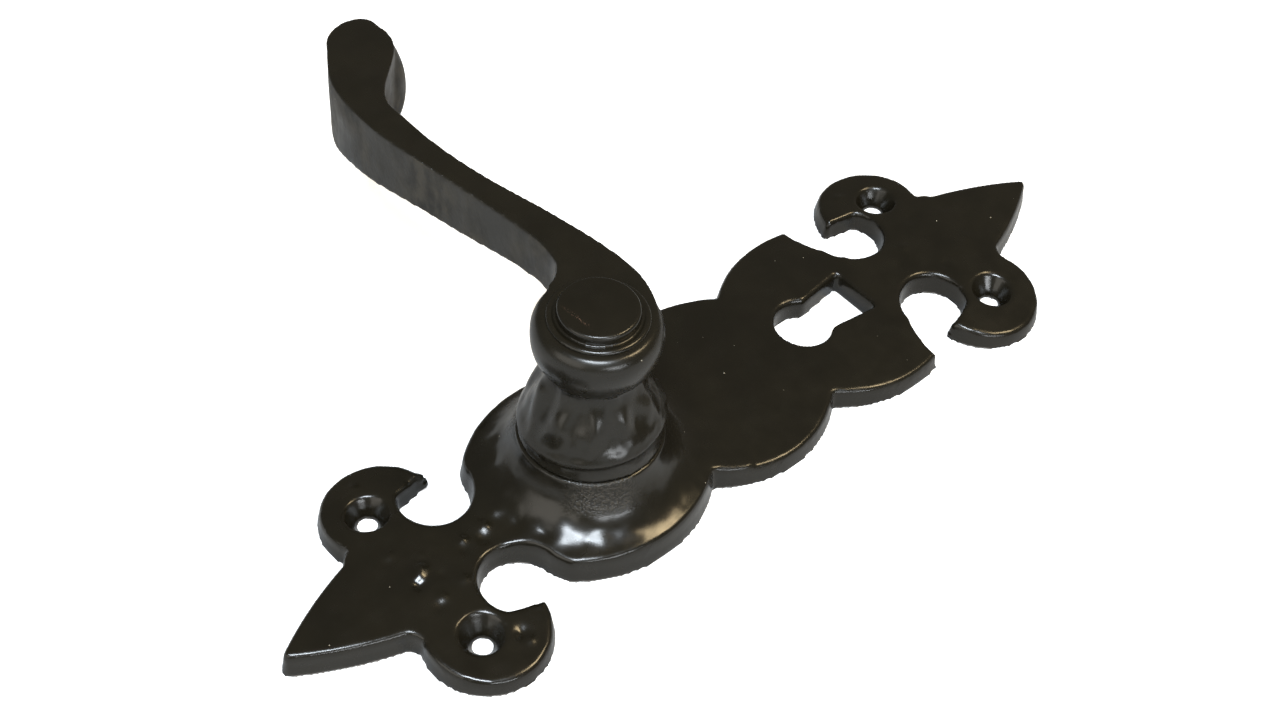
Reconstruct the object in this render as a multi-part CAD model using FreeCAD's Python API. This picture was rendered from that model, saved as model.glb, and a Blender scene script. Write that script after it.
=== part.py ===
import FreeCAD, Part
import math
import os

# Lever door handle in black-painted cast iron, on a long lock plate with fleur-de-lys ends.
#
# Frame, in millimetres: the origin is where the lever's turning axis meets the back face of the plate.
# +X runs along the plate towards the keyhole (down, on the door), +Y runs along the lever at rest, and
# +Z points away from the door. The plate is nearly the same on both sides of the X axis.

V = FreeCAD.Vector

# How far a cutter runs past the face it cuts through
OVERCUT = 1.0

# --- Plate outline. Each fleur-de-lys end is drawn in (s, v): s from its tip along the plate, v across it.
UPPER_TIP_X = -69.0
LOWER_TIP_X = 125.0
TIP_R = 1.7
TIP_TURN_DEG = 58.0
SPEAR_BULGE = (9.3, 6.1)
SPEAR_FOOT = (19.5, 10.0)
SHOULDER_BULGE = (20.1, 10.9)
SHOULDER_V = 12.0
NOTCH_CORNER = (36.9, 15.8)
NOTCH_WALL = (35.8, 10.6)
NOTCH_FLOOR = (41.5, 5.6)
NOTCH_RISE = (46.0, 7.0)
NOTCH_END = (49.2, 12.4)

# The casting's two sides aren't quite alike: 1 is the +Y side and -1 the other. The petals, as a centre and a
# radius; how far across the end's middle line each hooks back; and the middle of the notch's roof.
PETALS = {1: ((32.4, 15.9), 11.45), -1: ((31.9, 16.3), 12.15)}
HOOK_V = {1: 17.2, -1: 18.0}
NOTCH_ROOF = {1: (39.9, 16.3), -1: (39.9, 17.0)}

# Scalloped sides between the two ends, as (x, distance from the X axis): cusp, top of the lobe, cusp, ...
UPPER_FLANK = (-19.0, 14.6)
LOBES = {
    1: [(-17.5, 16.4), (-1.0, 22.2), (15.5, 16.5), (33.0, 22.6), (48.5, 17.0), (61.2, 22.8), (73.5, 22.2)],
    -1: [(-17.9, 16.6), (0.4, 22.9), (16.9, 17.0), (33.2, 22.7), (49.1, 17.1), (62.0, 23.0), (73.5, 22.5)],
}
LOWER_FLANK = (74.3, 16.0)

# --- Plate section
CREST_Z = 5.4
CREST_R = 185.0
SIDE_DRAFT = 0.125

# --- Holes in the plate
LOCK_CENTRES = 57.0
KEY_R = 5.85
KEY_NECK_X = 61.0
KEY_WAIST_X = 62.0
KEY_WAIST = 4.2
KEY_END_X = 72.15
KEY_END = 5.5
SCREW_X = (-39.0, 95.0)
SCREW_Y = (-17.4, 16.4)
SCREW_R = 1.9
SCREW_HEAD_R = 4.45
SCREW_SINK_Z = (0.9, 4.65)

# --- Dome, as (radius, z) down its trumpet-shaped outside
DOME_TOP_Z = 15.5
DOME_FLARE = [(13.8, 15.5), (14.6, 12.6), (16.4, 9.6), (18.8, 7.3), (21.8, 5.9), (26.0, 5.2), (31.0, 4.9)]

# --- Recess behind the dome, and what it holds
RECESS_R = 14.0
RECESS_TOP_Z = 9.5
COVER_R = 18.2
COVER_T = 1.2
COVER_HOLE_R = 7.0
COVER_GAP = 0.05
COVER_SCREW_PCR = 15.7
COVER_SCREW_R = 1.25
COVER_SCREW_HEAD_R = 2.2
COVER_SCREW_LENGTH = 5.0
TAP_SPARE = 0.5
COVER_SCREW_SLOT = (0.5, 0.5)
COVER_SCREW_SLOT_DEG = 35.0
COVER_SCREW_ANGLES = (30.0, 150.0, 270.0)

BUSH_R = 9.5
SHANK_R = 7.95
RUNNING_GAP = 0.05
THRUST_R = 12.5
THRUST_Z = 14.9
PIN_TOP_Z = 12.5
PIN_BOTTOM_CHAMFER = 0.2

# --- Lever turning on the dome
FOOT_Z = 15.8
SHANK_END_Z = 1.6
SHANK_FLAT = 6.9
SOCKET_SIDE = 8.1
SOCKET_TOP_Z = 28.0
TRAVEL_DEG = 45.0

# Foot band, as (radius, z); the bell above it, up to the neck; and the ball of the head
FOOT_BAND = [(13.5, 15.8), (13.6, 16.1), (13.3, 17.2), (13.2, 19.1), (13.9, 19.9)]
BELL = [(13.9, 19.9), (13.2, 21.4), (12.2, 23.8), (10.9, 26.6), (9.6, 29.3), (8.7, 31.4), (8.4, 32.7)]
BALL = [(8.9, 33.7), (10.3, 35.4), (11.4, 37.9), (11.85, 41.0), (11.5, 43.2), (10.3, 44.8)]
HEAD_TOP_Z = 45.0
HEAD_TOP_R = 9.9

# Arm seen from the front, as (y, x): outer edge, curl, rounded end, inner edge
ARM_OUTER = [(-7.0, 7.2), (-3.0, 10.6), (4.0, 12.7), (12.0, 12.4), (27.0, 9.6), (41.0, 6.4), (52.0, 5.0),
             (62.0, 4.9)]
ARM_CURL = [(62.0, 4.9), (69.5, 6.3), (75.0, 11.9), (80.0, 16.2), (85.5, 17.0)]
ARM_END = [(85.5, 17.0), (90.0, 15.3), (90.9, 11.4), (88.5, 6.7)]
ARM_INNER = [(88.5, 6.7), (82.5, 2.2), (76.7, -0.6), (69.0, -1.9), (61.0, -1.9), (50.0, -0.5), (38.0, 1.4),
             (26.0, 3.1), (18.5, 3.4), (14.8, 2.7)]
ARM_CORNER = [(14.8, 2.7), (12.7, 1.1), (11.2, -2.2)]

# Swelling of the curled end towards the wall, as circles: centre (x, y), radius, z
CURL_SWELL = [((10.8, 84.6), 6.0, 44.6), ((12.0, 83.4), 7.5, 36.0), ((10.6, 83.2), 6.6, 26.0)]

# More than half the arm's width, so that the side view cuts all of it
ARM_REACH = 40.0

# Underside of the arm seen from the side, as (y, z)
ARM_BELLY = [(-8.0, 41.0), (-2.0, 37.4), (5.0, 35.2), (14.0, 34.6), (24.0, 34.5), (38.0, 33.1), (50.0, 32.4),
             (62.0, 31.0), (72.0, 29.4), (80.0, 27.8), (95.0, 27.2)]

# --- Cap stud pressed into the head
CAP_STEM_R = 3.0
CAP_STEM_Z = 36.0
CAP_BEAD = [(9.3, 45.0), (8.75, 45.65), (7.9, 45.45)]
CAP_SIDE_R = 7.4
CAP_TOP_Z = 47.5
CAP_EDGE = 0.4

# --- Cam, spring and ring on the shank
WASHER_Z = 8.95
WASHER_T = 0.5
WASHER_R = 10.4
CAM_Z = 6.9
CAM_T = 2.0
CAM_R = 10.2
CAM_LUG_R = 13.2
CAM_LUG_HALF_DEG = 12.0
CAM_MID_DEG = 180.0
CLIP_Z = 6.0
CLIP_T = 0.8
CLIP_GROOVE_R = 7.3
CLIP_R = 9.3
CLIP_GAP_DEG = 90.0
CLIP_GAP_HALF_DEG = 14.0

STOP_PIN_R = 1.3
STOP_PIN_PCR = 12.0
STOP_PIN_BOTTOM_Z = 6.6
STOP_GAP = 0.1

WIRE_R = 0.65
COIL_R = 10.2
COIL_PITCH = 1.45
COIL_TOP_Z = 5.2
COIL_BEND_R = 1.6
COIL_FULL_TURNS = 2
LEG_END_R = 13.3
LEG_GAP = 0.05
PEG_R = 1.0
PEG_PCR = 12.3
PEG_BOTTOM_Z = 4.4
SPRING_PIN_R = 1.1
SPRING_PIN_PCR = 12.3
SPRING_PIN_BOTTOM_Z = 1.7
SPRING_PIN_DEG = 81.6


def polar(radius, degrees, z=0.0):
    """Point at a radius and an angle about the turning axis."""
    angle = math.radians(degrees)
    return V(radius * math.cos(angle), radius * math.sin(angle), z)


def curve(points):
    """Smooth edge through a list of vectors."""
    spline = Part.BSplineCurve()
    spline.interpolate(points)
    return spline.toShape()


def arc(start, middle, end):
    return Part.Arc(start, middle, end).toShape()


def prism(edges, z_low, z_high):
    """Solid between two heights, from a closed loop of edges drawn at z = 0."""
    face = Part.Face(Part.Wire(edges))
    face.translate(V(0, 0, z_low))
    return face.extrude(V(0, 0, z_high - z_low))


def turned(edges):
    """Solid of revolution about the turning axis, from a closed loop of edges in the XZ plane."""
    face = Part.Face(Part.Wire(edges))
    return face.revolve(V(0, 0, 0), V(0, 0, 1), 360)


def ring(inner_r, outer_r, z_low, height):
    """Washer-shaped solid about the turning axis."""
    outside = Part.makeCylinder(outer_r, height, V(0, 0, z_low))
    return outside.cut(Part.makeCylinder(inner_r, height, V(0, 0, z_low)))


def on_section(point):
    """Vector for a (radius, z) pair."""
    return V(point[0], 0, point[1])


def polyline(points):
    """Straight edges through a list of vectors."""
    return [Part.makeLine(a, b) for a, b in zip(points, points[1:])]


# ---------------------------------------------------------------- backplate

def fleur_side(tip_x, direction, side):
    """Arcs of one side of a fleur-de-lys end, from its tip to the end of its notch, as point triples."""
    (petal_s, petal_v), petal_r = PETALS[side]

    def on_petal(v, towards):
        return (petal_s + towards * math.sqrt(petal_r ** 2 - (v - petal_v) ** 2), v)

    turn = math.radians(TIP_TURN_DEG)
    tip_end = (TIP_R - TIP_R * math.cos(turn), TIP_R * math.sin(turn))
    tip_middle = (TIP_R - TIP_R * math.cos(turn / 2), TIP_R * math.sin(turn / 2))
    petal_start = on_petal(SHOULDER_V, -1)
    hook = on_petal(HOOK_V[side], 1)
    arcs = [
        [(0.0, 0.0), tip_middle, tip_end],
        [tip_end, SPEAR_BULGE, SPEAR_FOOT],
        [SPEAR_FOOT, SHOULDER_BULGE, petal_start],
        [petal_start, (petal_s, petal_v + petal_r), hook],
        [hook, NOTCH_ROOF[side], NOTCH_CORNER],
        [NOTCH_CORNER, NOTCH_WALL, NOTCH_FLOOR],
        [NOTCH_FLOOR, NOTCH_RISE, NOTCH_END],
    ]
    return [[V(tip_x + direction * s, v, 0) for s, v in arc] for arc in arcs]


def plate_side(side):
    """Arcs down one side of the plate, from the upper tip to the lower one, as point triples.

    Both sides are drawn at +Y; side tells which of them it is, 1 for the +Y side and -1 for the other.
    """
    upper = fleur_side(UPPER_TIP_X, 1, side)
    lower = [arc[::-1] for arc in fleur_side(LOWER_TIP_X, -1, side)[::-1]]
    lobes = [V(x, y, 0) for x, y in LOBES[side]]
    upper_flank = [upper[-1][-1], V(*UPPER_FLANK, 0), lobes[0]]
    lower_flank = [lobes[-1], V(*LOWER_FLANK, 0), lower[0][0]]
    return upper + [upper_flank] + [lobes[i:i + 3] for i in (0, 2, 4)] + [lower_flank] + lower


def circles_meet(first, second, near):
    """The point where two circles, each a (centre, radius), cross nearest to a given point."""
    between = second[0] - first[0]
    distance = between.Length
    along = (distance ** 2 + first[1] ** 2 - second[1] ** 2) / (2 * distance)
    across = math.sqrt(max(0.0, first[1] ** 2 - along ** 2))
    direction = V(between).normalize()
    foot = first[0] + direction * along
    side = V(-direction.y, direction.x, 0) * across
    return min(foot + side, foot - side, key=near.distanceToPoint)


def side_edges(side, inset):
    """Edges down one side of the plate, moved in by a distance and still meeting at their corners."""
    arcs = plate_side(side)
    circles = []
    for start, middle, end in arcs:
        circle = Part.Arc(start, middle, end).toShape().Curve
        hollow = (middle - start).cross(end - middle).z > 0
        circles.append((circle.Center, circle.Radius + (inset if hollow else -inset)))
    corners = [V(circles[0][0].x - circles[0][1], 0, 0)]
    corners += [circles_meet(a, b, points[-1]) for a, b, points in zip(circles, circles[1:], arcs)]
    corners.append(V(circles[-1][0].x + circles[-1][1], 0, 0))
    edges = []
    for (centre, radius), points, start, end in zip(circles, arcs, corners, corners[1:]):
        middle = centre + (points[1] - centre).normalize() * radius
        edges.append(Part.Arc(start, middle, end).toShape())
    return edges


def plate_outline(inset, z):
    """Closed wire around the plate at a height, with every side moved in by a distance."""
    edges = side_edges(1, inset)
    edges += [edge.mirror(V(0, 0, 0), V(0, 1, 0)) for edge in side_edges(-1, inset)]
    wire = Part.Wire(Part.__sortEdges__(edges))
    wire.translate(V(0, 0, z))
    return wire


def tapered_blank():
    """The outline as a blank, taller than the dome, whose sides lean inwards by the casting's draft."""
    height = DOME_TOP_Z + OVERCUT
    return Part.makeLoft([plate_outline(0, 0), plate_outline(SIDE_DRAFT * height, height)], True, True)


def dome_flare():
    """The dome and its trumpet-shaped skirt, spreading out over the plate."""
    skirt = [on_section(p) for p in DOME_FLARE]
    outline = [on_section((0.0, 0.0)), on_section((DOME_FLARE[-1][0], 0.0)), skirt[-1]]
    closing = [skirt[0], on_section((0.0, DOME_TOP_Z)), outline[0]]
    return turned(polyline(outline) + [curve(skirt[::-1])] + polyline(closing))


def keyhole():
    """Cutter for the keyhole: a round, and a slot that narrows and then flares to its end."""
    start = V(KEY_NECK_X, math.sqrt(KEY_R ** 2 - (KEY_NECK_X - LOCK_CENTRES) ** 2), 0)
    waist = V(KEY_WAIST_X, KEY_WAIST, 0)
    corner = V(KEY_END_X, KEY_END, 0)
    flip = V(0, 1, 0)
    side = [Part.makeLine(start, waist), Part.makeLine(waist, corner)]
    edges = [arc(V(start.x, -start.y, 0), V(LOCK_CENTRES - KEY_R, 0, 0), start)]
    edges += side + [Part.makeLine(corner, V(KEY_END_X, -KEY_END, 0))]
    edges += [edge.mirror(V(0, 0, 0), flip) for edge in side]
    return prism(Part.__sortEdges__(edges), -OVERCUT, CREST_Z + OVERCUT)


def screw_hole(x, y):
    """Cutter for one countersunk hole for a wood screw."""
    low, high = SCREW_SINK_Z
    shank = Part.makeCylinder(SCREW_R, high + OVERCUT, V(x, y, -OVERCUT))
    cone = Part.makeCone(SCREW_R, SCREW_HEAD_R, high - low, V(x, y, low))
    mouth = Part.makeCylinder(SCREW_HEAD_R, CREST_Z - high + OVERCUT, V(x, y, high))
    return shank.fuse([cone, mouth])


def recess():
    """Cutter for the hollow behind the dome, its cover's rebate, the bush's bore and the washer's seat."""
    below = V(0, 0, -OVERCUT)
    rebate = Part.makeCylinder(COVER_R + COVER_GAP, COVER_T + OVERCUT, below)
    hollow = Part.makeCylinder(RECESS_R, RECESS_TOP_Z + OVERCUT, below)
    bore = Part.makeCylinder(BUSH_R, DOME_TOP_Z + OVERCUT)
    seat = Part.makeCylinder(THRUST_R + RUNNING_GAP, DOME_TOP_Z, V(0, 0, THRUST_Z))
    taps = [Part.makeCylinder(COVER_SCREW_R, COVER_SCREW_LENGTH + TAP_SPARE, polar(COVER_SCREW_PCR, a))
            for a in COVER_SCREW_ANGLES]
    return rebate.fuse([hollow, bore, seat] + taps)


def backplate():
    length = LOWER_TIP_X - UPPER_TIP_X + 2 * OVERCUT
    crown = Part.makeCylinder(CREST_R, length, V(UPPER_TIP_X - OVERCUT, 0, CREST_Z - CREST_R), V(1, 0, 0))
    front = crown.fuse(dome_flare())
    plate = tapered_blank().common(front).removeSplitter()
    pins = [spring_pin()] + stop_pins()
    cutters = [keyhole(), recess()] + pins
    cutters += [screw_hole(x, y) for x in SCREW_X for y in SCREW_Y]
    return plate.cut(cutters)


# ---------------------------------------------------------------- lever

def lever_core():
    """Foot, bell-shaped neck and ball head: everything on the lever that is round about its axis."""
    band = [on_section(p) for p in FOOT_BAND]
    bell = [on_section(p) for p in BELL]
    ball = [on_section(p) for p in BALL]
    top = on_section((HEAD_TOP_R, HEAD_TOP_Z))
    edges = polyline([on_section((0.0, FOOT_Z))] + band)
    edges += [curve(bell), Part.makeLine(bell[-1], ball[0]), curve(ball)]
    edges += polyline([ball[-1], top, on_section((0.0, HEAD_TOP_Z)), on_section((0.0, FOOT_Z))])
    return turned(edges)


def arm():
    """Arm with its curled end: the outline seen from the front, trimmed by the belly seen from the side."""
    runs = [[V(x, y, 0) for y, x in run]
            for run in (ARM_OUTER, ARM_CURL, ARM_END, ARM_INNER, ARM_CORNER)]
    edges = [curve(run) for run in runs] + [Part.makeLine(runs[-1][-1], runs[0][0])]
    front_view = prism(edges, 0, HEAD_TOP_Z)

    belly = [V(-ARM_REACH, y, z) for y, z in ARM_BELLY]
    above = [V(-ARM_REACH, end.y, HEAD_TOP_Z + OVERCUT) for end in (belly[-1], belly[0])]
    side_view = Part.Face(Part.Wire([curve(belly)] + polyline([belly[-1]] + above + [belly[0]])))
    rings = [Part.Wire(Part.makeCircle(radius, V(x, y, z))) for (x, y), radius, z in CURL_SWELL]
    swell = Part.makeLoft(rings, True, False)
    return front_view.fuse(swell).common(side_view.extrude(V(2 * ARM_REACH, 0, 0)))


def shank():
    """Shank that passes through the plate: round in the bush, flatted below it, grooved for the ring."""
    body = Part.makeCylinder(SHANK_R, FOOT_Z - SHANK_END_Z + OVERCUT, V(0, 0, SHANK_END_Z))
    past = SHANK_R - SHANK_FLAT + OVERCUT
    for low_x in (SHANK_FLAT, -SHANK_FLAT - past):
        corner = V(low_x, -SHANK_R, SHANK_END_Z)
        body = body.cut(Part.makeBox(past, 2 * SHANK_R, WASHER_Z - SHANK_END_Z, corner))
    return body.cut(ring(CLIP_GROOVE_R, SHANK_R + OVERCUT, CLIP_Z, CLIP_T + RUNNING_GAP))


def lever():
    socket = Part.makeBox(SOCKET_SIDE, SOCKET_SIDE, SOCKET_TOP_Z - SHANK_END_Z,
                          V(-SOCKET_SIDE / 2, -SOCKET_SIDE / 2, SHANK_END_Z))
    stem_hole = Part.makeCylinder(CAP_STEM_R, HEAD_TOP_Z - CAP_STEM_Z + OVERCUT, V(0, 0, CAP_STEM_Z))
    return lever_core().fuse([arm(), shank()]).removeSplitter().cut([socket, stem_hole])


def cap_stud():
    """Stud in the top of the head: a plain stem, a bead lying on the head, and a flat button."""
    bead = [on_section(p) for p in CAP_BEAD]
    profile = [(CAP_SIDE_R, CAP_BEAD[-1][1]), (CAP_SIDE_R, CAP_TOP_Z - CAP_EDGE),
               (CAP_SIDE_R - CAP_EDGE, CAP_TOP_Z), (0.0, CAP_TOP_Z), (0.0, CAP_STEM_Z),
               (CAP_STEM_R, CAP_STEM_Z), (CAP_STEM_R, HEAD_TOP_Z), CAP_BEAD[0]]
    return turned([arc(*bead)] + polyline([bead[-1]] + [on_section(p) for p in profile]))


# ---------------------------------------------------------------- parts in the recess

def bush():
    return ring(SHANK_R + RUNNING_GAP, BUSH_R, RECESS_TOP_Z, THRUST_Z - RECESS_TOP_Z)


def thrust_washer():
    return ring(SHANK_R + RUNNING_GAP, THRUST_R, THRUST_Z, FOOT_Z - RUNNING_GAP - THRUST_Z)


def retaining_washer():
    return ring(SHANK_R + RUNNING_GAP, WASHER_R, WASHER_Z, WASHER_T)


def lug_rest_deg():
    """Angle of the cam's lug when the lever is at rest: half its travel before the middle."""
    return CAM_MID_DEG + TRAVEL_DEG / 2


def drive_cam():
    """Cam on the shank's flats, with a lug for the stops and a peg that pushes the spring's leg."""
    centre = lug_rest_deg()
    lug = Part.makeCylinder(CAM_LUG_R, CAM_T, V(0, 0, CAM_Z), V(0, 0, 1), 2 * CAM_LUG_HALF_DEG)
    lug.rotate(V(0, 0, 0), V(0, 0, 1), centre - CAM_LUG_HALF_DEG)
    peg = Part.makeCylinder(PEG_R, CAM_Z + CAM_T - PEG_BOTTOM_Z, polar(PEG_PCR, centre, PEG_BOTTOM_Z))
    peg = peg.common(Part.makeCylinder(CAM_LUG_R, CAM_Z + CAM_T))
    hub = Part.makeCylinder(CAM_R, CAM_T, V(0, 0, CAM_Z))
    hole = Part.makeCylinder(SHANK_R + RUNNING_GAP, CAM_T, V(0, 0, CAM_Z))
    flats = 2 * (SHANK_FLAT + RUNNING_GAP)
    hole = hole.common(Part.makeBox(flats, 2 * CAM_R, CAM_T, V(-flats / 2, -CAM_R, CAM_Z)))
    return hub.fuse([lug, peg]).removeSplitter().cut(hole)


def circlip():
    """Open ring in the shank's groove, under the cam."""
    body = ring(CLIP_GROOVE_R + RUNNING_GAP, CLIP_R, CLIP_Z, CLIP_T)
    gap = Part.makeCylinder(CLIP_R + OVERCUT, CLIP_T, V(0, 0, CLIP_Z), V(0, 0, 1), 2 * CLIP_GAP_HALF_DEG)
    gap.rotate(V(0, 0, 0), V(0, 0, 1), CLIP_GAP_DEG - CLIP_GAP_HALF_DEG)
    return body.cut(gap)


def hanging_pin(radius, pitch_r, degrees, bottom_z):
    """Pin pressed into the roof of the recess and hanging from it, with a small chamfer below."""
    low = polar(pitch_r, degrees, bottom_z)
    tip = Part.makeCone(radius - PIN_BOTTOM_CHAMFER, radius, PIN_BOTTOM_CHAMFER, low)
    body_low = low + V(0, 0, PIN_BOTTOM_CHAMFER)
    return tip.fuse(Part.makeCylinder(radius, PIN_TOP_Z - body_low.z, body_low)).removeSplitter()


def stop_pins():
    """The two pins that end the travel: each just clear of the lug's side at its end of the travel."""
    reach = CAM_LUG_HALF_DEG + math.degrees(math.asin((STOP_PIN_R + STOP_GAP) / STOP_PIN_PCR))
    angles = [CAM_MID_DEG + side * (TRAVEL_DEG / 2 + reach) for side in (1, -1)]
    return [hanging_pin(STOP_PIN_R, STOP_PIN_PCR, a, STOP_PIN_BOTTOM_Z) for a in angles]


def spring_pin():
    """Pin beside the spring's fixed leg."""
    return hanging_pin(SPRING_PIN_R, SPRING_PIN_PCR, SPRING_PIN_DEG, SPRING_PIN_BOTTOM_Z)


def spring_leg(degrees, z, turn):
    """Edges of a spring leg: a bend out of the coil at an angle and height, then a straight run.

    turn is -1 at the coil's top end, where it arrives turning to smaller angles and rising, and 1 at its
    bottom end, which is followed the other way. The straight run's tip and direction come back as well.
    """
    slope = math.atan(COIL_PITCH / (2 * math.pi * COIL_R))
    outward = polar(1, degrees)
    along = (polar(1, degrees + 90) * math.cos(slope) - V(0, 0, math.sin(slope))) * turn
    start = polar(COIL_R, degrees, z)
    half = math.radians(45)
    middle = start + along * COIL_BEND_R * math.sin(half) + outward * COIL_BEND_R * (1 - math.cos(half))
    end = start + (along + outward) * COIL_BEND_R
    tip = end + outward * (LEG_END_R - COIL_R - COIL_BEND_R)
    return [arc(start, middle, end), Part.makeLine(end, tip)], tip, outward


def leg_angle(pin_deg, pin_pcr, pin_r, turn):
    """Angle at which the coil ends when its leg just clears a pin that stands behind it."""
    clearance = pin_r + WIRE_R + LEG_GAP
    return pin_deg + turn * math.degrees(math.asin((clearance - COIL_BEND_R) / pin_pcr))


def return_spring():
    """Torsion spring around the shank: an open coil with both ends bent out into straight legs."""
    top_deg = leg_angle(lug_rest_deg(), PEG_PCR, PEG_R, -1)
    bottom_deg = leg_angle(SPRING_PIN_DEG, SPRING_PIN_PCR, SPRING_PIN_R, 1) + 360 * COIL_FULL_TURNS
    height = COIL_PITCH * (bottom_deg - top_deg) / 360
    low_z = COIL_TOP_Z - height
    coil = Part.makeHelix(COIL_PITCH, height, COIL_R, 0, True)
    coil.rotate(V(0, 0, 0), V(0, 0, 1), bottom_deg)
    coil.translate(V(0, 0, low_z))
    top_leg, _, _ = spring_leg(top_deg, COIL_TOP_Z, -1)
    bottom_leg, tip, outward = spring_leg(bottom_deg, low_z, 1)
    spine = Part.Wire(Part.__sortEdges__(bottom_leg + coil.Edges + top_leg))
    section = Part.Wire(Part.makeCircle(WIRE_R, tip, outward))
    return spine.makePipeShell([section], True, False)


def spring_cover():
    """Disc that closes the recess, flush with the plate's back, with countersunk screw holes."""
    disc = ring(COVER_HOLE_R, COVER_R, 0, COVER_T)
    holes = []
    for angle in COVER_SCREW_ANGLES:
        holes.append(Part.makeCylinder(COVER_SCREW_R + COVER_GAP, COVER_T, polar(COVER_SCREW_PCR, angle)))
        holes.append(screw_head(angle, COVER_GAP))
    return disc.cut(holes)


def screw_head(angle, gap):
    """Countersunk cone of a cover screw, grown by a gap for its seat in the cover."""
    depth = COVER_SCREW_HEAD_R - COVER_SCREW_R
    return Part.makeCone(COVER_SCREW_HEAD_R + gap, COVER_SCREW_R + gap, depth, polar(COVER_SCREW_PCR, angle))


def cover_screws():
    width, depth = COVER_SCREW_SLOT
    screws = []
    for angle in COVER_SCREW_ANGLES:
        body = Part.makeCylinder(COVER_SCREW_R, COVER_SCREW_LENGTH, polar(COVER_SCREW_PCR, angle))
        slot = Part.makeBox(4 * COVER_SCREW_HEAD_R, width, depth, V(-2 * COVER_SCREW_HEAD_R, -width / 2, 0))
        slot.rotate(V(0, 0, 0), V(0, 0, 1), angle + COVER_SCREW_SLOT_DEG)
        slot.translate(polar(COVER_SCREW_PCR, angle))
        screws.append(screw_head(angle, 0).fuse(body).removeSplitter().cut(slot))
    return Part.makeCompound(screws)


NODES = {
    "backplate": backplate,
    "lever": lever,
    "cap_stud": cap_stud,
    "bush": bush,
    "thrust_washer": thrust_washer,
    "retaining_washer": retaining_washer,
    "drive_cam": drive_cam,
    "return_spring": return_spring,
    "circlip": circlip,
    "stop_pins": lambda: Part.makeCompound(stop_pins()),
    "spring_pin": spring_pin,
    "spring_cover": spring_cover,
    "cover_screws": cover_screws,
}

os.makedirs("parts", exist_ok=True)
for name, build in NODES.items():
    shape = build()
    if not shape.isValid():
        raise RuntimeError(name + " is not a valid shape")
    print(name, len(shape.Solids), "solids,", round(shape.Volume), "mm3")
    shape.exportStep("parts/" + name + ".step")
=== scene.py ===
import math

import bmesh
import bpy
import numpy as np
from mathutils import Euler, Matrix, Quaternion, Vector, noise
from mathutils.bvhtree import BVHTree
from mathutils.kdtree import KDTree


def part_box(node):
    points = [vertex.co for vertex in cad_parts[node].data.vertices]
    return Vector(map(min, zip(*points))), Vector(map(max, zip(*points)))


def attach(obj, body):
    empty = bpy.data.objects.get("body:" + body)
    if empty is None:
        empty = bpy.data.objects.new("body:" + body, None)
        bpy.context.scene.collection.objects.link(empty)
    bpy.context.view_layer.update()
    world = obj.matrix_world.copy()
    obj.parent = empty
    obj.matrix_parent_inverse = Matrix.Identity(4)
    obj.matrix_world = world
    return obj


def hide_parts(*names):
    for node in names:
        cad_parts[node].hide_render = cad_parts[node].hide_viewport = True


# Looks of a cast-iron lever handle on its lock plate. Lengths are metres, in the frame of the packed
# model: the origin is on the lever's turning axis at the plate's back, +X points to the keyhole, +Y along
# the lever and +Z away from the door.

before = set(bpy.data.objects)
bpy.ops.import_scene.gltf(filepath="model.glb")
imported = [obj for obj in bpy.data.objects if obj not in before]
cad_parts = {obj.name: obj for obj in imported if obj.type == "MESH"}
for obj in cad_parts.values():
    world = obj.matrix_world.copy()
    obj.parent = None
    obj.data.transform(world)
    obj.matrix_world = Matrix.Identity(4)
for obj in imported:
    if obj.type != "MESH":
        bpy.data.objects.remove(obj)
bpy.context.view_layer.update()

MM = 0.001

# Fineness of the cast pieces' meshes, and how far their edges are softened (rounds of smoothing)
PLATE_VOXEL = 0.45 * MM
LEVER_VOXEL = 0.38 * MM
STUD_VOXEL = 0.20 * MM
PLATE_ROUNDS = 3
LEVER_ROUNDS = 4
STUD_ROUNDS = 3

# How far out and up the hollow behind the dome reaches, and the tapped holes beside it
HOLLOW_R = 14.5 * MM
HOLLOW_TOP_Z = 10.0 * MM
TAPS_R = 17.8 * MM
TAPS_TOP_Z = 6.4 * MM

# How far past the cover and the bush the plate's mesh is kept exactly as it is in the model
SEAT_MARGIN = 0.4 * MM
BORE_END_BELOW_FOOT = 1.2 * MM

# The square hole up the lever's shank, with a margin: half its width and where it ends
SOCKET_HALF = 4.5 * MM
SOCKET_END_Z = 28.5 * MM

# The plate's rims: radius of their rounding, and the heights their walls are found between
RIM_R = 0.95 * MM
RIM_WALL_LOW = 0.8 * MM
RIM_WALL_HIGH = 3.4 * MM

# The ledge above the lever's foot leans: rise per length along LEDGE_UP, which fades out below and above it
LEDGE_LEAN = 0.12
LEDGE_UP = (0.70, -0.72)
LEDGE_Z = (16.3 * MM, 19.9 * MM, 27.0 * MM)

# Camera
CAMERA_PLACE = Vector((-160.85, -167.93, 294.8)) * MM
CAMERA_HEADING = math.radians(44.305)
CAMERA_DROP = math.radians(48.205)
CAMERA_ROLL = math.radians(5.538)
CAMERA_LENS = 55.734

# Places taken from the frame
plate_low, plate_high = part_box("backplate")
cover_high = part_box("spring_cover")[1]
FOOT_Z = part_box("thrust_washer")[1].z
SEAM_Z = plate_high.z
HEAD_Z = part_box("lever")[1].z
BUSH_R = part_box("bush")[1].x
COVER_R = cover_high.x
COVER_T = cover_high.z

# Bands in mm over which a treatment rises to full strength and fades again: two limits in, two limits out.
# By radius: the skirt of the dome and the rough patch on it. By -x: the plate's neck. By z: the bell.
SKIRT_BAND = (13.0, 15.5, 22.0, 26.0)
PATCH_BAND = (12.9, 13.8, 15.4, 16.8)
PLATE_NECK_BAND = (17.0, 24.0, 42.0, 52.0)
BELL_BAND = (20.5, 22.5, 32.5, 35.0)

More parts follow.
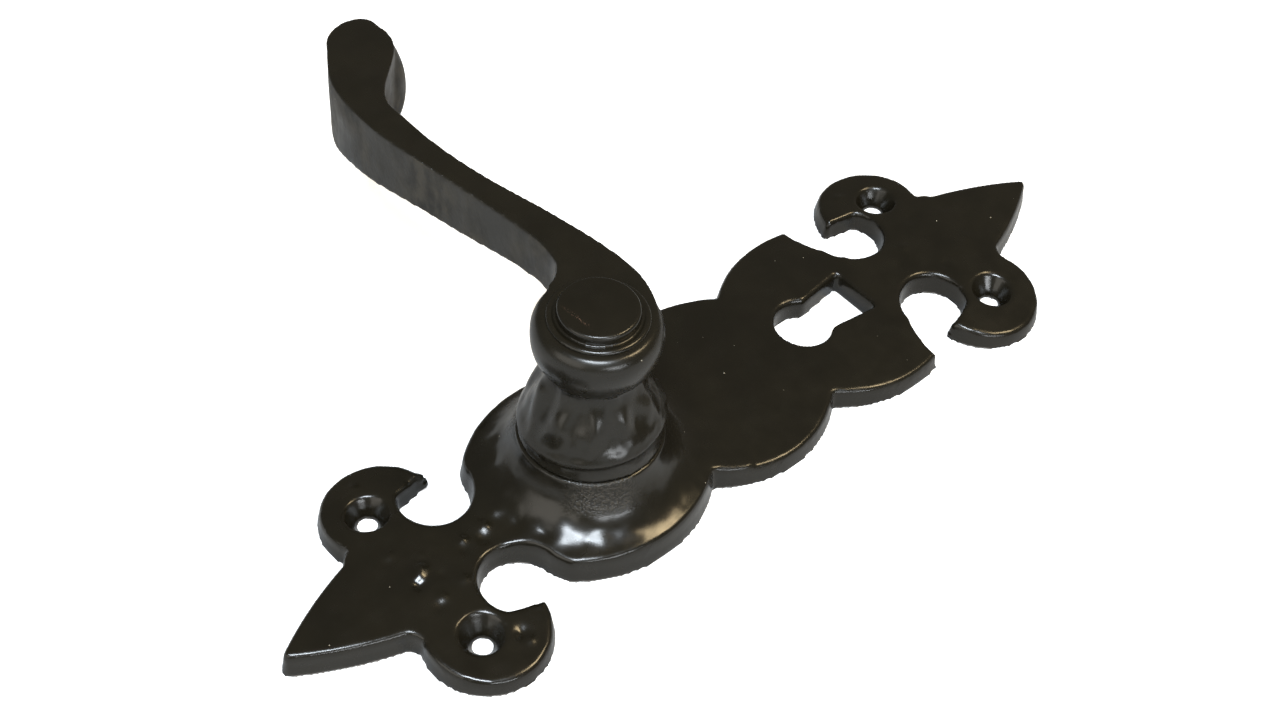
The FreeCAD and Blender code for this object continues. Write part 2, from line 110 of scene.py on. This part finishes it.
# Swells of the casting's skin, in mm: height, size, seed of the noise, and how much taller than wide
FACE_SWELLS = [(0.06, 9.0, 1, 1.0), (0.010, 3.0, 2, 1.0)]
SKIRT_SWELLS = [(0.15, 6.0, 3, 1.0), (0.05, 2.2, 7, 1.0)]
PLATE_NECK_SWELLS = [(0.05, 3.6, 4, 1.0)]
PLATE_WALL_SWELLS = [(0.04, 4.0, 5, 1.0)]
PATCH_SWELLS = [(0.08, 0.7, 6, 1.0)]
ARM_WALL_SWELLS = [(0.10, 6.0, 11, 1.0)]
LEVER_SWELLS = [(0.012, 2.5, 12, 1.0)]
BELL_SWELLS = [(0.46, 3.2, 13, 2.2), (0.10, 1.5, 14, 1.6)]
FOOT_SWELLS = [(0.12, 3.0, 15, 1.0)]
HEAD_SWELLS = [(0.06, 5.0, 16, 1.0)]
STUD_SWELLS = [(0.03, 4.0, 21, 1.0), (0.010, 1.6, 22, 1.0)]

# Lumps and dents of the plate's casting, in mm: (x, y), radius, height
PLATE_LUMPS = [
    ((-24.6, 0.2), 1.6, 0.62),
    ((-26.2, -1.8), 1.6, -0.45),
    ((-21.4, 1.4), 1.8, 0.55),
    ((-20.2, -3.6), 2.0, -0.35),
    ((-29.6, 0.2), 1.1, 0.44),
    ((-30.6, -1.6), 1.4, -0.26),
    ((-39.4, -0.2), 1.6, 0.72),
    ((-40.6, -1.4), 1.2, 0.40),
    ((-41.6, -2.8), 1.5, -0.60),
    ((-37.6, 2.2), 1.1, 0.24),
    ((-36.8, -3.6), 1.4, -0.24),
    ((-41.3, -8.6), 1.5, -0.34),
    ((-39.9, -7.2), 1.3, 0.36),
    ((-34.6, -6.6), 1.3, 0.34),
    ((-41.9, 5.6), 1.4, 0.32),
    ((-43.4, 4.4), 1.3, -0.22),
    ((-33.0, 3.4), 1.6, -0.16),
    ((-37.6, 22.9), 1.4, 0.36),
    ((-33.2, -21.2), 1.6, -0.60),
    ((-33.0, -23.2), 1.1, 0.34),
    ((-27.2, 15.6), 1.2, 0.36),
    ((-28.6, 17.4), 1.0, -0.34),
    ((96.0, 7.4), 1.9, -0.24),
    ((101.5, -4.0), 1.8, 0.26),
    ((92.0, -6.5), 1.6, -0.26),
    ((88.6, 2.0), 1.5, 0.34),
    ((83.4, -1.2), 1.6, -0.22),
    ((104.5, 5.2), 1.6, -0.22),
    ((89.5, 21.8), 1.4, 0.26),
    ((77.0, 8.0), 1.3, 0.26),
]

# Knobs on the plate's walls, at the hooks' tips and shoulders, in mm: (x, y), radius, height
WALL_KNOBS = [
    ((-25.3, 17.3), 1.5, 1.3),
    ((-26.4, -19.0), 1.2, -0.25),
    ((-30.6, 24.6), 1.6, 0.25),
    ((81.4, 17.3), 1.5, 0.35),
    ((81.4, -18.2), 1.5, 0.35),
]

# Bigger dents on the skirt of the dome, in mm: (x, y, z), radius, height
SKIRT_DENTS = [
    ((-17.6, -8.6, 6.4), 1.9, -0.24),
    ((-15.9, -11.2, 6.4), 2.1, 0.20),
    ((-12.8, -14.6, 5.9), 1.4, -0.16),
    ((-10.4, -15.8, 6.6), 1.9, 0.14),
    ((-9.4, -12.0, 8.0), 1.7, 0.20),
    ((-12.6, -9.4, 9.0), 1.7, -0.22),
    ((-3.4, -17.8, 6.8), 2.6, -0.12),
    ((5.2, -17.2, 7.4), 3.2, -0.10),
    ((12.0, -13.0, 7.4), 3.0, 0.14),
    ((-17.4, 3.0, 7.6), 2.0, 0.30),
    ((-15.0, 9.6, 7.6), 2.2, -0.34),
    ((-11.6, 13.6, 7.2), 2.0, 0.30),
    ((4.0, 17.0, 7.4), 2.6, 0.24),
    ((15.6, 8.0, 7.4), 2.6, -0.20),
]

# Flats and hollows hammered into the bell below the ball, on a round of radius NECK_R and taller than wide:
# (degrees round the axis, z in mm), radius and height in mm, and a factor on all the heights
NECK_R = 10.5
NECK_STRETCH = 0.42
NECK_DEPTH = 1.5
NECK_DENTS = [
    ((157, 30.4), 2.2, 0.50),
    ((176, 28.0), 2.8, -0.60),
    ((197, 26.4), 2.6, 0.40),
    ((214, 29.6), 2.6, -0.50),
    ((-124, 28.6), 2.8, 0.28),
    ((-112, 24.6), 3.0, -0.40),
    ((-100, 27.4), 1.5, 0.26),
    ((-86, 28.0), 2.2, -0.45),
    ((-92, 21.8), 2.6, 0.25),
    ((-62, 26.0), 2.6, 0.35),
    ((-36, 28.4), 2.8, -0.50),
    ((-6, 26.0), 3.0, 0.35),
    ((28, 29.0), 2.6, -0.45),
    ((66, 26.4), 3.2, -0.35),
    ((104, 28.2), 2.8, 0.40),
    ((132, 26.2), 2.6, -0.40),
]

# Direction of the rough patch at the foot of the dome, from the axis, and about half its width, in radians
PATCH_AZIMUTH = math.radians(-122)
PATCH_HALF_ANGLE = 0.42

# Scuff on the button in mm: its middle, its direction seen from above, and its half length and half width
SCRATCH_PLACE = (-4.6, 0.3, 47.5)
SCRATCH_WAY = (0.10, -0.99)
SCRATCH_SIZE = (2.4, 0.22)

# Fixed turn of the noise's own grid away from the object's faces
TILT = np.array(Euler((0.6, 0.9, 0.4)).to_matrix())

# ---------------------------------------------------------------- mesh work

def points_of(mesh):
    flat = np.empty(3 * len(mesh.vertices), np.float32)
    mesh.vertices.foreach_get("co", flat)
    return flat.reshape(-1, 3).astype(float)


def normals_of(mesh):
    flat = np.empty(3 * len(mesh.vertices), np.float32)
    mesh.vertex_normals.foreach_get("vector", flat)
    return flat.reshape(-1, 3).astype(float)


def set_points(mesh, points):
    mesh.vertices.foreach_set("co", points.astype(np.float32).ravel())
    mesh.update()


def cast_copy(node, name, voxel):
    """A new piece with an even, fine mesh over the same shape as a CAD node."""
    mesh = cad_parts[node].data.copy()
    work = bmesh.new()
    work.from_mesh(mesh)
    bmesh.ops.remove_doubles(work, verts=work.verts, dist=1e-7)
    work.to_mesh(mesh)
    work.free()
    piece = bpy.data.objects.new(name, mesh)
    bpy.context.scene.collection.objects.link(piece)
    remesh = piece.modifiers.new("remesh", "REMESH")
    remesh.mode = "VOXEL"
    remesh.voxel_size = voxel
    shaped = piece.evaluated_get(bpy.context.evaluated_depsgraph_get())
    piece.data = bpy.data.meshes.new_from_object(shaped)
    piece.modifiers.clear()
    piece.data.materials.clear()
    piece.data.polygons.foreach_set("use_smooth", [True] * len(piece.data.polygons))
    return piece


def soften(mesh, rounds, weight):
    """Rounds the mesh's edges by drawing every vertex towards its neighbours.

    weight is 0 where the mesh stays as it is.
    """
    points = points_of(mesh)
    flat = np.empty(2 * len(mesh.edges), np.int32)
    mesh.edges.foreach_get("vertices", flat)
    ends = flat.reshape(-1, 2)
    here = np.concatenate([ends[:, 0], ends[:, 1]])
    there = np.concatenate([ends[:, 1], ends[:, 0]])
    total = len(points)
    count = np.bincount(here, minlength=total)[:, None]
    for _ in range(rounds):
        sums = [np.bincount(here, points[there, axis], total) for axis in range(3)]
        points += 0.5 * weight[:, None] * (np.stack(sums, axis=1) / count - points)
    set_points(mesh, points)


def keep_to_cad(mesh, node, where):
    """Puts the chosen vertices exactly back on the CAD node's surface."""
    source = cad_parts[node].data
    corners = [v.co for v in source.vertices]
    tree = BVHTree.FromPolygons(corners, [tuple(p.vertices) for p in source.polygons])
    points = points_of(mesh)
    for index in np.nonzero(where)[0]:
        points[index] = tree.find_nearest(Vector(points[index]))[0]
    set_points(mesh, points)


def swells(points, size, seed, stretch):
    """Smooth noise between about -1 and 1 at each point, with swells of about the given size."""
    scaled = (points / (size * np.array(stretch))) @ TILT + 31.7 * seed
    return np.array([noise.noise(Vector(p)) for p in scaled])


def step_up(value, low, high):
    """0 below low, 1 above high, and a smooth rise between them."""
    share = np.clip((value - low) / (high - low), 0, 1)
    return share * share * (3 - 2 * share)


def band(value, limits):
    """1 between the two middle limits, given in mm, with a smooth fade to 0 at the outer two."""
    start, full, fade, end = [limit * MM for limit in limits]
    return step_up(value, start, full) * (1 - step_up(value, fade, end))


def waves(points, kinds):
    """Height of the skin's swells at each point: the sum of its kinds, each listed as above."""
    height = np.zeros(len(points))
    for rise, size, seed, tall in kinds:
        height += rise * MM * swells(points, size * MM, seed, (1, 1, tall))
    return height


def lumps(points, centres, upright=1.0):
    """Height of a set of soft lumps, each a centre, a radius and a height in mm, at each point.

    The lumps are round for upright = 1, and taller than wide below that.
    """
    height = np.zeros(len(points))
    for centre, radius, rise in centres:
        axes = len(centre)
        squeeze = np.array([1.0, 1.0, upright])[:axes]
        apart = np.linalg.norm((points[:, :axes] / MM - np.array(centre)) * squeeze, axis=1)
        height += rise * np.exp(-1.6 * (apart / radius) ** 2)
    return height * MM


def plan_tree(points, chosen):
    """Search tree of the chosen points seen from above, and their numbers."""
    numbers = np.nonzero(chosen)[0]
    tree = KDTree(len(numbers))
    for number in numbers:
        tree.insert((points[number, 0], points[number, 1], 0), int(number))
    tree.balance()
    return tree


def round_rims(mesh, inside):
    """Rounds the plate's front rims by lowering what is near a wall, so that the outline stays as it is."""
    points = points_of(mesh)
    rise = normals_of(mesh)[:, 2]
    height = points[:, 2]
    low_enough = (height > RIM_WALL_LOW) & (height < RIM_WALL_HIGH)
    clear_of_back = np.hypot(points[:, 0], points[:, 1]) > COVER_R + SEAT_MARGIN
    walls = plan_tree(points, (np.abs(rise) < 0.35) & low_enough & clear_of_back & ~inside)
    fronts = plan_tree(points, (rise > 0.8) & ~inside)
    for index in np.nonzero((height > 0.4 * MM) & ~inside)[0]:
        spot = (points[index, 0], points[index, 1], 0)
        into = RIM_R - walls.find(spot)[2]
        if into > 0:
            top = height[fronts.find(spot)[1]]
            drop = RIM_R - math.sqrt(RIM_R ** 2 - into ** 2)
            height[index] *= (top - drop) / top
    set_points(mesh, points)


def masks(mesh, **given):
    """Stores the paint's masks, from 0 to 1 at each vertex: those that are given, and 0 for the others."""
    for name in ("grain", "walls", "scuff"):
        values = given.get(name, np.zeros(len(mesh.vertices)))
        layer = mesh.attributes.new(name, "FLOAT", "POINT")
        layer.data.foreach_set("value", np.clip(values, 0, 1).astype(np.float32))


# ---------------------------------------------------------------- materials

# Colours of the paint: its darker and lighter clouds, the painted sheen on the lever's side walls and the
# rough patch; then of dust and of scuffs
IRON_DARK = (0.0066, 0.0056, 0.0032, 1)
IRON_LIGHT = (0.0090, 0.0076, 0.0044, 1)
# Painted sheen: the lighter colour the side walls are given in place of the light they catch
IRON_WALL_SHEEN = (0.036, 0.031, 0.022, 1)
IRON_GRAIN = (0.032, 0.027, 0.020, 1)
DUST = (0.42, 0.38, 0.30, 1)
SCUFF = (0.11, 0.065, 0.045, 1)


class Shader:
    """Small helper that builds a node material around one Principled shader."""

    def __init__(self, name):
        self.material = bpy.data.materials.new(name)
        self.material.use_nodes = True
        self.nodes = self.material.node_tree.nodes
        self.links = self.material.node_tree.links
        self.surface = self.nodes["Principled BSDF"]
        self.place = self.nodes.new("ShaderNodeTexCoord").outputs["Object"]

    def join(self, source, target):
        self.links.new(source, target)

    def add(self, kind, **inputs):
        node = self.nodes.new(kind)
        for key, value in inputs.items():
            self.feed(node.inputs[key.replace("_", " ")], value)
        return node

    def feed(self, socket, value):
        if isinstance(value, bpy.types.NodeSocket):
            self.join(value, socket)
        else:
            socket.default_value = value

    def stretched(self, scale):
        """Object coordinates scaled differently along each axis."""
        mapping = self.add("ShaderNodeMapping", Vector=self.place)
        mapping.inputs["Scale"].default_value = scale
        return mapping.outputs["Vector"]

    def grain(self, size, detail=3.0, vector=None):
        """Noise from 0 to 1 with features of about the given size in metres."""
        node = self.add("ShaderNodeTexNoise", Vector=vector or self.place, Scale=1 / size, Detail=detail)
        return node.outputs["Fac"]

    def ramp(self, value, low, high, start=0.0, end=1.0):
        """Maps low..high to start..end, clamped."""
        node = self.add("ShaderNodeMapRange", Value=value)
        node.inputs["From Min"].default_value = low
        node.inputs["From Max"].default_value = high
        node.inputs["To Min"].default_value = start
        node.inputs["To Max"].default_value = end
        return node.outputs["Result"]

    def maths(self, operation, first, second):
        node = self.nodes.new("ShaderNodeMath")
        node.operation = operation
        self.feed(node.inputs[0], first)
        self.feed(node.inputs[1], second)
        return node.outputs[0]

    def blend(self, share, first, second):
        """Mix of two colours."""
        node = self.nodes.new("ShaderNodeMix")
        node.data_type = "RGBA"
        self.feed(node.inputs["Factor"], share)
        self.feed(node.inputs[6], first)
        self.feed(node.inputs[7], second)
        return node.outputs[2]

    def specks(self, spacing, size, seed):
        """1 on small round specks scattered at about the given spacing, 0 elsewhere."""
        shifted = self.add("ShaderNodeMapping", Vector=self.place)
        shifted.inputs["Location"].default_value = (seed, 2 * seed, 3 * seed)
        node = self.add("ShaderNodeTexVoronoi", Vector=shifted.outputs["Vector"], Scale=1 / spacing)
        return self.ramp(node.outputs["Distance"], size / spacing, 0.6 * size / spacing)

    def stored(self, name):
        node = self.nodes.new("ShaderNodeAttribute")
        node.attribute_name = name
        return node.outputs["Fac"]

    def bump(self, height, strength, distance, under=None):
        node = self.add("ShaderNodeBump", Height=height, Strength=strength, Distance=distance)
        if under is not None:
            self.join(under, node.inputs["Normal"])
        return node.outputs["Normal"]

    def finish(self, colour, roughness, normal=None, metallic=0.0):
        self.feed(self.surface.inputs["Base Color"], colour)
        self.feed(self.surface.inputs["Roughness"], roughness)
        self.feed(self.surface.inputs["Metallic"], metallic)
        if normal is not None:
            self.join(normal, self.surface.inputs["Normal"])
        return self.material


def painted_iron(name, gloss=0.23):
    """Satin black paint over cast iron: brownish black, a little uneven, dusty, brushed walls with painted
    sheen.
    """
    s = Shader(name)
    walls = s.stored("walls")
    streak = s.maths("MULTIPLY", s.grain(1.0, 4.0, s.stretched((500.0, 330.0, 190.0))), walls)
    cloud = s.grain(1.0, 6.0, s.stretched((90.0, 90.0, 60.0)))
    # Clouds on the side walls: rougher and bumped, and also painted lighter as a sheen
    smudge_and_sheen = s.maths("MULTIPLY", s.ramp(cloud, 0.42, 0.60), walls)
    tone = s.blend(s.ramp(s.grain(9 * MM, 4.0), 0.35, 0.65), IRON_DARK, IRON_LIGHT)
    # Painted sheen: the walls' streaks and clouds are blended to the lighter wall colour
    tone = s.blend(s.maths("MULTIPLY", s.ramp(streak, 0.40, 0.62), smudge_and_sheen), tone, IRON_WALL_SHEEN)
    pits = s.ramp(s.grain(0.45 * MM, 2.0), 0.42, 0.62)
    rough_patch = s.maths("MULTIPLY", s.stored("grain"), pits)
    tone = s.blend(rough_patch, tone, IRON_GRAIN)
    dusty = s.ramp(s.grain(12 * MM, 1.0), 0.46, 0.53)
    dust = s.maths("MULTIPLY", s.specks(4.5 * MM, 0.16 * MM, 0.13), dusty)
    scuff = s.maths("MULTIPLY", s.stored("scuff"), s.ramp(s.grain(0.30 * MM, 1.0), 0.57, 0.62))
    tone = s.blend(dust, tone, DUST)
    tone = s.blend(scuff, tone, SCUFF)
    rough = s.ramp(s.grain(5 * MM, 5.0), 0.30, 0.70, gloss - 0.04, gloss + 0.07)
    rough = s.maths("ADD", rough, s.maths("MULTIPLY", walls, 0.06))
    rough = s.maths("ADD", rough, s.maths("MULTIPLY", smudge_and_sheen, 0.26))
    rough = s.maths("ADD", rough, s.maths("MULTIPLY", s.stored("grain"), 0.22))
    rough = s.maths("ADD", rough, s.maths("MULTIPLY", dust, 0.4))
    skin = s.bump(s.grain(0.9 * MM, 3.0), 0.16, 0.04 * MM)
    skin = s.bump(s.grain(3.4 * MM, 2.0), 0.22, 0.08 * MM, skin)
    skin = s.bump(streak, 0.50, 0.10 * MM, skin)
    skin = s.bump(smudge_and_sheen, 0.45, 0.25 * MM, skin)
    skin = s.bump(rough_patch, 0.8, 0.10 * MM, skin)
    skin = s.bump(scuff, 0.5, 0.05 * MM, skin)
    return s.finish(tone, rough, skin)


def turned_metal(name, colour, roughness, ring_size=0.25 * MM):
    """Bare or plated metal with fine marks and slightly uneven brightness."""
    s = Shader(name)
    light = tuple(min(1.0, 1.12 * c) for c in colour) + (1,)
    dark = tuple(0.80 * c for c in colour) + (1,)
    tone = s.blend(s.ramp(s.grain(2.5 * MM, 5.0), 0.35, 0.65), dark, light)
    marks = s.grain(ring_size, 2.0, s.stretched((1.0, 6.0, 1.0)))
    rough = s.ramp(s.grain(1.2 * MM, 4.0), 0.3, 0.7, roughness - 0.07, roughness + 0.10)
    return s.finish(tone, rough, s.bump(marks, 0.25, 0.02 * MM), metallic=1.0)


def black_nylon(name):
    s = Shader(name)
    tone = s.blend(s.grain(1.5 * MM, 4.0), (0.012, 0.012, 0.012, 1), (0.022, 0.022, 0.022, 1))
    rough = s.ramp(s.grain(0.9 * MM, 3.0), 0.3, 0.7, 0.42, 0.58)
    return s.finish(tone, rough, s.bump(s.grain(0.3 * MM), 0.15, 0.02 * MM))


# ---------------------------------------------------------------- cast pieces

def backplate():
    """The plate with rounded rims, the lumps of its casting and the rough patch at the front of the dome."""
    piece = cast_copy("backplate", "backplate_casting", PLATE_VOXEL)
    mesh = piece.data
    points = points_of(mesh)
    radius = np.hypot(points[:, 0], points[:, 1])
    height = points[:, 2]
    behind_cover = (radius < COVER_R + SEAT_MARGIN) & (height < COVER_T + SEAT_MARGIN)
    hollow = (radius < HOLLOW_R) & (height < HOLLOW_TOP_Z)
    taps = (radius < TAPS_R) & (height < TAPS_TOP_Z)
    bore = (radius < BUSH_R + SEAT_MARGIN) & (height < FOOT_Z - BORE_END_BELOW_FOOT)
    inside = behind_cover | hollow | taps | bore
    near_seam = step_up(height, SEAM_Z - 1.0 * MM, SEAM_Z)
    raised = step_up(height, 0.3 * MM, 0.9 * MM) * (1 - 0.75 * near_seam)
    soften(mesh, PLATE_ROUNDS, np.where(inside, 0.0, raised))
    keep_to_cad(mesh, "backplate", inside)
    round_rims(mesh, inside)

    points = points_of(mesh)
    normals = normals_of(mesh)
    radius = np.hypot(points[:, 0], points[:, 1])
    shown = np.where(inside, 0, 1)
    front = step_up(normals[:, 2], 0.15, 0.5) * shown
    outer = np.where(points[:, 2] > 0.8 * MM, 1, 0) * shown
    rise = waves(points, FACE_SWELLS)
    rise += band(radius, SKIRT_BAND) * waves(points, SKIRT_SWELLS)
    rise += band(-points[:, 0], PLATE_NECK_BAND) * waves(points, PLATE_NECK_SWELLS)
    rise += lumps(points, PLATE_LUMPS) + lumps(points, SKIRT_DENTS)
    wall_rise = waves(points, PLATE_WALL_SWELLS) + lumps(points, WALL_KNOBS)
    facing = np.arctan2(points[:, 1], points[:, 0])
    patch = np.exp(-((facing - PATCH_AZIMUTH) / PATCH_HALF_ANGLE) ** 4) * band(radius, PATCH_BAND)
    rise += patch * waves(points, PATCH_SWELLS)
    move = front * rise + (1 - front) * outer * wall_rise
    set_points(mesh, points + normals * move[:, None])
    masks(mesh, grain=patch)
    return piece


def lean_ledge(points):
    """Tips the ledge above the foot to one side, as the casting has it."""
    along = points[:, 0] * LEDGE_UP[0] + points[:, 1] * LEDGE_UP[1]
    low, middle, high = LEDGE_Z
    share = step_up(points[:, 2], low, middle) * (1 - step_up(points[:, 2], middle, high))
    near = 1 - step_up(np.hypot(points[:, 0], points[:, 1]), 14.5 * MM, 16 * MM)
    points[:, 2] += LEDGE_LEAN * along * share * near


def bell_dents():
    """The hammered flats and hollows as lumps with (x, y, z) centres."""
    dents = []
    for (degrees, z), radius, rise in NECK_DENTS:
        turn = math.radians(degrees)
        dents.append(((NECK_R * math.cos(turn), NECK_R * math.sin(turn), z), radius, rise))
    return dents


def lever():
    """The lever casting: softened edges, a hammered neck, a leaning ledge and slightly wavy walls."""
    piece = cast_copy("lever", "lever_casting", LEVER_VOXEL)
    mesh = piece.data
    points = points_of(mesh)
    radius = np.hypot(points[:, 0], points[:, 1])
    shank = (points[:, 2] < FOOT_Z - 0.1 * MM) & (radius < BUSH_R)
    socket = (np.abs(points[:, :2]).max(axis=1) < SOCKET_HALF) & (points[:, 2] < SOCKET_END_Z)
    inside = shank | socket
    away_from_seam = 0.25 + 0.75 * step_up(points[:, 2], FOOT_Z, FOOT_Z + 1.0 * MM)
    soften(mesh, LEVER_ROUNDS, np.where(inside, 0.0, away_from_seam))
    keep_to_cad(mesh, "lever", inside)

    points = points_of(mesh)
    normals = normals_of(mesh)
    radius = np.hypot(points[:, 0], points[:, 1])
    wall = 1 - step_up(np.abs(normals[:, 2]), 0.5, 0.9)
    near_axis = 1 - step_up(radius, 14.5 * MM, 17 * MM)
    neck = near_axis * band(points[:, 2], BELL_BAND)
    foot = near_axis * (1 - step_up(points[:, 2], 19.0 * MM, 20.0 * MM))
    rise = wall * waves(points, ARM_WALL_SWELLS) + waves(points, LEVER_SWELLS)
    rise += neck * NECK_DEPTH * lumps(points, bell_dents(), NECK_STRETCH)
    rise += neck * waves(points, BELL_SWELLS)
    rise += foot * waves(points, FOOT_SWELLS)
    rise += near_axis * waves(points, HEAD_SWELLS)
    points += normals * (np.where(inside, 0.0, 1.0) * rise)[:, None]
    lean_ledge(points)
    set_points(mesh, points)
    masks(mesh, walls=wall * step_up(radius, 14 * MM, 18 * MM))
    return piece


def stud():
    """The button, its groove and the bead around it."""
    piece = cast_copy("cap_stud", "cap_button", STUD_VOXEL)
    mesh = piece.data
    points = points_of(mesh)
    shown = step_up(points[:, 2], HEAD_Z - 0.3 * MM, HEAD_Z + 0.1 * MM)
    soften(mesh, STUD_ROUNDS, shown)
    points = points_of(mesh)
    normals = normals_of(mesh)
    set_points(mesh, points + normals * (shown * waves(points, STUD_SWELLS))[:, None])
    from_scratch = points / MM - np.array(SCRATCH_PLACE)
    along = from_scratch[:, 0] * SCRATCH_WAY[0] + from_scratch[:, 1] * SCRATCH_WAY[1]
    across = from_scratch[:, 1] * SCRATCH_WAY[0] - from_scratch[:, 0] * SCRATCH_WAY[1]
    scratch = np.exp(-(along / SCRATCH_SIZE[0]) ** 2 - (across / SCRATCH_SIZE[1]) ** 2)
    masks(mesh, scuff=shown * scratch)
    return piece


def dress(piece, body, node, material):
    """Puts a new piece on its body, in place of its CAD node, with its material."""
    piece.data.materials.append(material)
    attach(piece, body)
    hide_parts(node)


def repaint(node, material):
    """Gives a CAD node that stays in view its material."""
    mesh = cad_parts[node].data
    mesh.materials.clear()
    mesh.materials.append(material)


# ---------------------------------------------------------------- stage

# The floor: half its width, how far it lies under the plate, and how short a ray passes through it
FLOOR_HALF = 3.0
FLOOR_GAP = 0.05 * MM
FLOOR_CLEAR = 0.6 * MM

# Its whiteness to the camera and in reflections, and how much it glows to the camera
FLOOR_WHITE = 0.90
FLOOR_REFLECTED = 0.46
FLOOR_GLOW = 0.55

# The room that shows in reflections, and the backdrop beyond the floor
ROOM_COLOUR = (1.0, 0.93, 0.80, 1)
ROOM_STRENGTH = 0.16
BACKDROP_COLOUR = (0.93, 0.93, 0.93, 1)

# What the lights are aimed at
LIGHT_AIM = Vector((20, 5, 10)) * MM


def area_light(name, direction, distance, size, power, colour):
    """Softbox that hangs in a direction from the object and shines at it."""
    data = bpy.data.lights.new(name, "AREA")
    data.shape = "RECTANGLE"
    data.size, data.size_y = size
    data.energy = power
    data.color = colour
    light = bpy.data.objects.new(name, data)
    bpy.context.scene.collection.objects.link(light)
    away = Vector(direction).normalized()
    light.location = LIGHT_AIM + away * distance
    light.rotation_mode = "QUATERNION"
    light.rotation_quaternion = (-away).to_track_quat("-Z", "Y")


def floor():
    """Plain pale table, seen only from above, and darker in reflections than to the camera.

    It is clear from below, and to the rays that reach it within FLOOR_CLEAR, so that light from below
    reaches the back of the plate.
    """
    low = plate_low.z - FLOOR_GAP
    mesh = bpy.data.meshes.new("floor")
    corners = [(-1, -1), (1, -1), (1, 1), (-1, 1)]
    mesh.from_pydata([(FLOOR_HALF * x, FLOOR_HALF * y, low) for x, y in corners], [], [(0, 1, 2, 3)])
    piece = bpy.data.objects.new("floor", mesh)
    bpy.context.scene.collection.objects.link(piece)
    s = Shader("floor_white")
    path = s.nodes.new("ShaderNodeLightPath")
    seen = path.outputs["Is Camera Ray"]
    s.feed(s.surface.inputs["Emission Color"], (1, 1, 1, 1))
    s.feed(s.surface.inputs["Emission Strength"], s.maths("MULTIPLY", seen, FLOOR_GLOW))
    s.finish(s.ramp(seen, 0, 1, FLOOR_REFLECTED, FLOOR_WHITE), 0.9)
    clear = s.nodes.new("ShaderNodeBsdfTransparent")
    below = s.nodes.new("ShaderNodeNewGeometry").outputs["Backfacing"]
    under = s.maths("LESS_THAN", path.outputs["Ray Length"], FLOOR_CLEAR)
    either = s.nodes.new("ShaderNodeMixShader")
    s.join(s.maths("MAXIMUM", below, under), either.inputs["Fac"])
    s.join(s.surface.outputs["BSDF"], either.inputs[1])
    s.join(clear.outputs["BSDF"], either.inputs[2])
    s.join(either.outputs["Shader"], s.nodes["Material Output"].inputs["Surface"])
    piece.data.materials.append(s.material)


def surroundings():
    """Dim warm room for the reflections, with a pale backdrop where the camera sees past the floor."""
    world = bpy.data.worlds.new("room")
    bpy.context.scene.world = world
    world.use_nodes = True
    nodes, links = world.node_tree.nodes, world.node_tree.links
    room = nodes["Background"]
    room.inputs["Color"].default_value = ROOM_COLOUR
    room.inputs["Strength"].default_value = ROOM_STRENGTH
    backdrop = nodes.new("ShaderNodeBackground")
    backdrop.inputs["Color"].default_value = BACKDROP_COLOUR
    path = nodes.new("ShaderNodeLightPath")
    either = nodes.new("ShaderNodeMixShader")
    links.new(path.outputs["Is Camera Ray"], either.inputs["Fac"])
    links.new(room.outputs["Background"], either.inputs[1])
    links.new(backdrop.outputs["Background"], either.inputs[2])
    links.new(either.outputs["Shader"], nodes["World Output"].inputs["Surface"])
    bpy.context.scene.view_settings.view_transform = "Standard"


def camera():
    data = bpy.data.cameras.new("camera")
    data.lens = CAMERA_LENS
    data.clip_start = 0.01
    data.clip_end = 20.0
    piece = bpy.data.objects.new("camera", data)
    bpy.context.scene.collection.objects.link(piece)
    level = math.cos(CAMERA_DROP)
    ahead = Vector((math.cos(CAMERA_HEADING) * level, math.sin(CAMERA_HEADING) * level, 0))
    ahead.z = -math.sin(CAMERA_DROP)
    piece.location = CAMERA_PLACE
    piece.rotation_mode = "QUATERNION"
    piece.rotation_quaternion = ahead.to_track_quat("-Z", "Y") @ Quaternion((0, 0, 1), CAMERA_ROLL)
    bpy.context.scene.camera = piece


dress(backplate(), "plate_body", "backplate", painted_iron("plate_paint"))
dress(lever(), "lever_body", "lever", painted_iron("lever_paint", 0.26))
dress(stud(), "lever_body", "cap_stud", painted_iron("stud_paint"))

zinc = turned_metal("zinc_plate", (0.62, 0.63, 0.64), 0.32)
spring_wire = turned_metal("spring_wire", (0.33, 0.33, 0.35), 0.30)
repaint("bush", turned_metal("turned_brass", (0.72, 0.55, 0.28), 0.28))
repaint("thrust_washer", black_nylon("washer_nylon"))
repaint("retaining_washer", zinc)
repaint("drive_cam", turned_metal("pressed_steel", (0.50, 0.50, 0.50), 0.38))
repaint("return_spring", spring_wire)
repaint("circlip", spring_wire)
repaint("stop_pins", zinc)
repaint("spring_pin", zinc)
repaint("spring_cover", turned_metal("plated_sheet", (0.60, 0.60, 0.60), 0.34))
repaint("cover_screws", turned_metal("screw_steel", (0.55, 0.55, 0.56), 0.30))

floor()
surroundings()
area_light("window", (-0.34, -0.33, 0.88), 1.20, (0.44, 0.24), 18.0, (0.84, 0.92, 1.0))
area_light("front", (-0.226, -0.914, 0.338), 1.20, (0.60, 0.08), 4.0, (0.92, 0.96, 1.0))
area_light("lamp", (0.42, -0.33, 0.84), 1.10, (0.34, 0.24), 5.0, (1.0, 0.78, 0.46))
area_light("side", (-0.90, -0.10, 0.42), 1.40, (1.20, 0.80), 5.0, (1.0, 0.95, 0.87))
area_light("under", (-0.30, -0.45, -0.84), 1.60, (1.20, 0.80), 14.0, (1.0, 0.97, 0.92))
camera()
